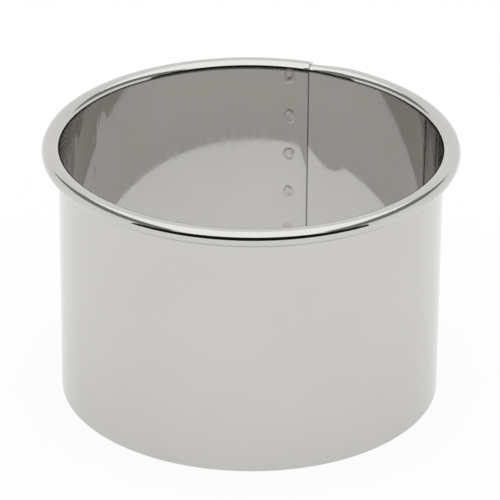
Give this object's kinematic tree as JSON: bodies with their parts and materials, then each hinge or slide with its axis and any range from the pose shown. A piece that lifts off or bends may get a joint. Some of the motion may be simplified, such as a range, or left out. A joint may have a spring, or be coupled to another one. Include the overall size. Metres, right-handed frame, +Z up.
{
  "type": "round biscuit cutter",
  "caption": "Round biscuit cutter: a lapped and spot-welded ring of thin bright steel, with a plain cutting edge below and its top edge rolled outward into a bead.",
  "frame": {"origin": "middle of the ring, in the plane of the cutting edge", "axes": "+Z up the middle of the ring from the cutting edge to the rolled rim, +Y from the middle towards the row of spot welds in the lap seam"},
  "size_m": [0.076, 0.076, 0.049],
  "materials": {
    "band_steel": "bright, mirror-like rolled stainless steel sheet",
    "rim_steel": "bright stainless steel, finely wrinkled across the curl",
    "weld_steel": "dull, slightly dented weld spot in stainless steel"
  },
  "bodies": {
    "root": {"cutting_band": "band_steel", "rolled_rim": "rim_steel", "spot_weld_1": "weld_steel", "spot_weld_2": "weld_steel", "spot_weld_3": "weld_steel", "spot_weld_4": "weld_steel", "spot_weld_5": "weld_steel", "spot_weld_6": "weld_steel"}
  },
  "joints": []
}
